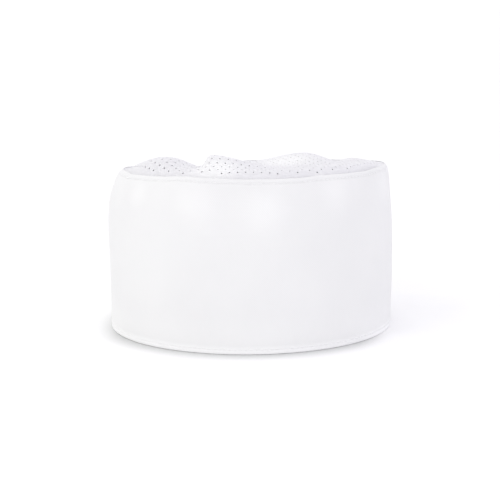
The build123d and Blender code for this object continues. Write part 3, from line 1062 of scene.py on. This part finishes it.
def hooks():
    """Stiff nylon hooks, in rows that turn up and down by turns, on the tab's inner side."""
    spots, chance = scattered((-31.8, -6.0, 15.4, 73.0), HOOK_PITCH, 7)
    turn = np.where(np.round(spots[:, 0] / (HOOK_PITCH * MM)) % 2 == 0, 1.0, -1.0)[:, None]
    sway = np.array([0, 0.0, 0.07, 0.20, 0.27]) * MM
    rise = np.array([-0.05, 0.17, 0.30, 0.31, 0.22]) * MM * (0.95 + 0.1 * chance[:, :1])
    x = np.repeat(spots[:, :1], 5, axis=1) + (chance[:, 1:2] - 0.5) * 0.1 * MM
    lines = wall.nape(x, spots[:, 1:] + turn * sway, -1.95 * MM + rise)
    return tubes("hooks", lines, np.array([0.10, 0.09, 0.09, 0.08, 0.05]) * MM, HOOK_NYLON, sides=5)


def loops():
    """A pile of fine nylon loops on the cap's outer side."""
    spots, chance = scattered((-38.6, 4.8, 11.4, 76.8), LOOP_PITCH, 11)
    turn = chance[:, :1] * math.pi
    across = np.array([-0.42, -0.46, 0.0, 0.46, 0.42]) * MM * (0.8 + 0.5 * chance[:, 1:2])
    rise = np.array([-0.05, 0.3, 0.56, 0.3, -0.05]) * MM * (0.8 + 0.3 * chance[:, 2:3])
    x = spots[:, :1] + across * np.cos(turn)
    z = spots[:, 1:] + across * np.sin(turn)
    return tubes("loops", wall.nape(x, z, -0.52 * MM - rise), np.full(5, 0.055) * MM, LOOP_NYLON, sides=4)


declare(hooks(), "closure_tab", [])
declare(loops(), "cap", [])
declare(nape_row("hook_patch_stitches", box_line(-31, -7, 16, 72), tab_face), "closure_tab",
        ["hook_patch_stitch"])
declare(nape_row("loop_patch_stitches", box_line(-38, 4, 12, 76), level(-0.62)), "cap",
        ["loop_patch_stitch"])


# ======== the slit at the nape: bound edge and bartack ========
def slit_line():
    """The slit's edge from its bottom on one side, over the top, to the other: x, z and the way out of it."""
    up = np.linspace(0.8 * MM, SLIT_TOP, 44)
    over_top = np.radians(np.linspace(0, 180, 15))[1:-1]
    out_x = np.concatenate([np.ones(len(up)), np.cos(over_top), -np.ones(len(up))])
    out_z = np.concatenate([np.zeros(len(up)), np.sin(over_top), np.zeros(len(up))])
    height = np.concatenate([up, np.full(len(over_top), SLIT_TOP), up[::-1]])
    return SLIT_X + SLIT_HALF * out_x, height + SLIT_HALF * out_z, out_x, out_z


def slit_tape():
    """Tape folded over the slit's raw edge, swept round it as one length. The closed section is a list of
    distances out from the edge and depths."""
    x, z, out_x, out_z = slit_line()
    width = np.array([3.5, 3.45, 3.2, 1.6, 0.1, -0.28, -0.4, -0.28, 0.1, 1.6, 3.3, 3.5, 3.45, 1.6, 0.1,
                      -0.02, 0.1, 1.6, 3.4]) * MM
    depth = np.array([-0.66, -0.82, -0.87, -0.89, -0.85, -0.70, -0.49, -0.28, -0.14, -0.11, -0.12, -0.26,
                      -0.43, -0.45, -0.46, -0.50, -0.54, -0.55, -0.56]) * MM
    rings = wall.nape(x[:, None] + out_x[:, None] * width, z[:, None] + out_z[:, None] * width, depth[None])
    count, sides = rings.shape[:2]
    reach = np.concatenate([[0], np.cumsum(np.hypot(np.diff(x), np.diff(z)))])
    faces, uv = [], []
    for i in range(count - 1):
        for j in range(sides):
            n = (j + 1) % sides
            faces.append([i * sides + j, i * sides + n, (i + 1) * sides + n, (i + 1) * sides + j])
            uv += [(reach[i], j * 0.5 * MM), (reach[i], (j + 1) * 0.5 * MM),
                   (reach[i + 1], (j + 1) * 0.5 * MM), (reach[i + 1], j * 0.5 * MM)]
    for ring, order in ((0, -1), (count - 1, 1)):
        faces.append([ring * sides + j for j in range(sides)][::order])
        uv += [(0.0, 0.0)] * sides
    return finished("slit_tape", rings.reshape(-1, 3), faces, uv, TAPE)


def bartack():
    """A dense zigzag of thread that closes the slit's top."""
    ups = np.linspace(10.7, 17.3, 21) * MM
    lines = []
    for k, x in enumerate(ups):
        low, high = (88.0, 89.6) if k % 2 == 0 else (89.6, 88.0)
        z = np.linspace(low, high, 5) * MM
        across = x + np.linspace(0, 0.33, 5) * MM
        lines.append(wall.nape(across, z, np.array([0.1, -0.16, -0.24, -0.16, 0.1]) * MM))
    return tubes("slit_tack", lines, np.array([0.12, 0.19, 0.21, 0.19, 0.12]) * MM, THREAD)


declare(slit_tape(), "cap", ["slit_binding"])
declare(bartack(), "cap", ["slit_bartack"])
edge_x, edge_z, side_x, side_z = slit_line()
tape_row = polyline(np.stack([edge_x + side_x * 2.6 * MM, edge_z + side_z * 2.6 * MM], 1))
declare(nape_row("slit_tape_stitches", tape_row, level(-0.8)), "cap", [])


# ======== the care label, hanging inside at the left ear ========
LABEL_DEPTH, LABEL_HALF = 3.5 * MM, 12 * MM
LABEL_TOP, LABEL_FREE, LABEL_END = 92.2 * MM, 88.9 * MM, 46.4 * MM


def label():
    """A blank satin strip: sewn onto the seam tape, then hanging free with a slight curl."""
    heights = np.concatenate([np.linspace(LABEL_TOP, LABEL_FREE, 6),
                              np.linspace(LABEL_FREE, LABEL_END, 40)[1:]])
    ys = np.linspace(-LABEL_HALF, LABEL_HALF, 25)
    hung = wall.at_height(math.pi, np.maximum(heights, LABEL_FREE), LABEL_DEPTH)[:, 0]
    below = np.maximum(LABEL_FREE - heights, 0) / (LABEL_FREE - LABEL_END)
    curl = (1.6 * below**2.2 + 0.5 * np.sin(below * 7)) * MM
    cup = 0.7 * MM * (ys[:, None] / LABEL_HALF) ** 2 * ramp(below, 0, 0.4)
    middle = np.stack(np.broadcast_arrays(hung + curl + cup, ys[:, None], heights), -1).reshape(-1, 3)
    faces, uv = grid_faces(-ys, heights)
    half = 0.15 * MM * vertex_normals(middle, faces)
    return sheet_of("label_strip", middle + half, middle - half, faces, uv, SATIN)


strip = label()
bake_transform(strip)
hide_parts("care_label")


def label_row(length, lift):
    angle = math.pi + (length - 10 * MM) / wall.half_length
    return wall.at_height(angle, 90.8 * MM, LABEL_DEPTH + 0.15 * MM + lift)


declare(stitch_row("label_stitches", label_row, 20 * MM, pitch=2.4 * MM), "cap", ["label_stitch"])


# ======== stage, light and camera ========
SHADOW_REACH, SHADOW_MIDDLE = 17 * MM, -7 * MM
SHADOW_HALF = (72 * MM, 97 * MM)  # the half width of its dark part, and where it has faded
FLOOR_HALF = 30.0


def floor():
    """Pale seamless table. The narrow shadow under the cap's front edge is deepened by a painted shadow: the
    floor's colour goes darker where ambient occlusion finds the cap near, strongly across the front and only
    faintly at the sides.
    """
    f = Finish("pale_floor", 0.9, specular=0.1)
    fleck = f.noise(f.place(), 60 * MM, 2)
    pale = f.tint(fleck, (0.945, 0.945, 0.945), (0.965, 0.965, 0.965), 0.3, 0.7)
    # Painted shadow: the floor's occlusion, times a strength that is high at the front and low at the sides,
    # darkens its colour towards a dark grey.
    open_sky = f.node("AmbientOcclusion", {"samples": 12}, Distance=SHADOW_REACH).outputs["AO"]
    across = f.node("SeparateXYZ", Vector=f.node("NewGeometry").outputs["Position"]).outputs["X"]
    aside = f.math("ABSOLUTE", f.math("SUBTRACT", across, SHADOW_MIDDLE), 0.0)
    strength = f.fade(aside, *SHADOW_HALF, 0.88, 0.10)
    painted_shadow_share = f.math("MULTIPLY", f.math("SUBTRACT", 1.0, open_sky), strength)
    f.colour(f.mixed(pale, f.even((0.10, 0.11, 0.105)), painted_shadow_share))
    corners = [(-1, -1, 0), (1, -1, 0), (1, 1, 0), (-1, 1, 0)]
    mesh = bpy.data.meshes.new("floor")
    mesh.from_pydata([Vector(corner) * FLOOR_HALF for corner in corners], [], [(0, 1, 2, 3)])
    mesh.materials.append(f.material)
    made = bpy.data.objects.new("floor", mesh)
    bpy.context.scene.collection.objects.link(made)


def soft_light(name, place, aim, size, power, colour):
    data = bpy.data.lights.new(name, "AREA")
    data.shape, data.size, data.energy, data.color = "DISK", size, power, colour
    lamp = bpy.data.objects.new(name, data)
    bpy.context.scene.collection.objects.link(lamp)
    lamp.location = place
    lamp.rotation_euler = (Vector(aim) - Vector(place)).to_track_quat("-Z", "Y").to_euler()


def sky():
    """An even white studio, a little brighter on the left and more violet on the right."""
    world = bpy.data.worlds.new("studio")
    world.use_nodes = True
    tree = world.node_tree
    background = tree.nodes["Background"]
    where = tree.nodes.new("ShaderNodeTexCoord")
    split = tree.nodes.new("ShaderNodeSeparateXYZ")
    spread = tree.nodes.new("ShaderNodeMapRange")
    tint = tree.nodes.new("ShaderNodeValToRGB")
    tree.links.new(where.outputs["Generated"], split.inputs[0])
    tree.links.new(split.outputs["X"], spread.inputs["Value"])
    spread.inputs["From Min"].default_value = -1
    tree.links.new(spread.outputs["Result"], tint.inputs["Fac"])
    tint.color_ramp.elements[0].color = (1.115, 1.115, 1.095, 1)
    tint.color_ramp.elements[1].color = (1.03, 1.015, 1.095, 1)
    tree.links.new(tint.outputs["Color"], background.inputs["Color"])
    background.inputs["Strength"].default_value = 1.0
    bpy.context.scene.world = world


# The camera's distance and height in metres, and its tilt down and roll in degrees.
CAMERA_BACK, CAMERA_UP, CAMERA_TILT, CAMERA_ROLL = 0.956, 0.2085, 9.57, 0.5
FOCAL_PIXELS, PICTURE = 1477.0, 500


def camera():
    data = bpy.data.cameras.new("camera")
    data.sensor_width = 36.0
    data.lens = FOCAL_PIXELS / PICTURE * data.sensor_width
    data.clip_start, data.clip_end = 0.01, 100
    made = bpy.data.objects.new("camera", data)
    bpy.context.scene.collection.objects.link(made)
    tilt = Matrix.Rotation(math.radians(90 - CAMERA_TILT), 4, "X")
    roll = Matrix.Rotation(math.radians(-CAMERA_ROLL), 4, "Z")
    made.matrix_world = Matrix.Translation((0, -CAMERA_BACK, CAMERA_UP)) @ tilt @ roll
    bpy.context.scene.camera = made


camera()
floor()
sky()
soft_light("key", (-0.7, -0.8, 1.15), (0, 0, 0.05), 0.5, 1.7, (1.0, 0.995, 0.98))
soft_light("fill", (0.25, -1.7, 0.35), (0, 0, 0.03), 0.9, 0.6, (0.99, 0.985, 1.0))
bpy.context.scene.view_settings.view_transform = "Standard"
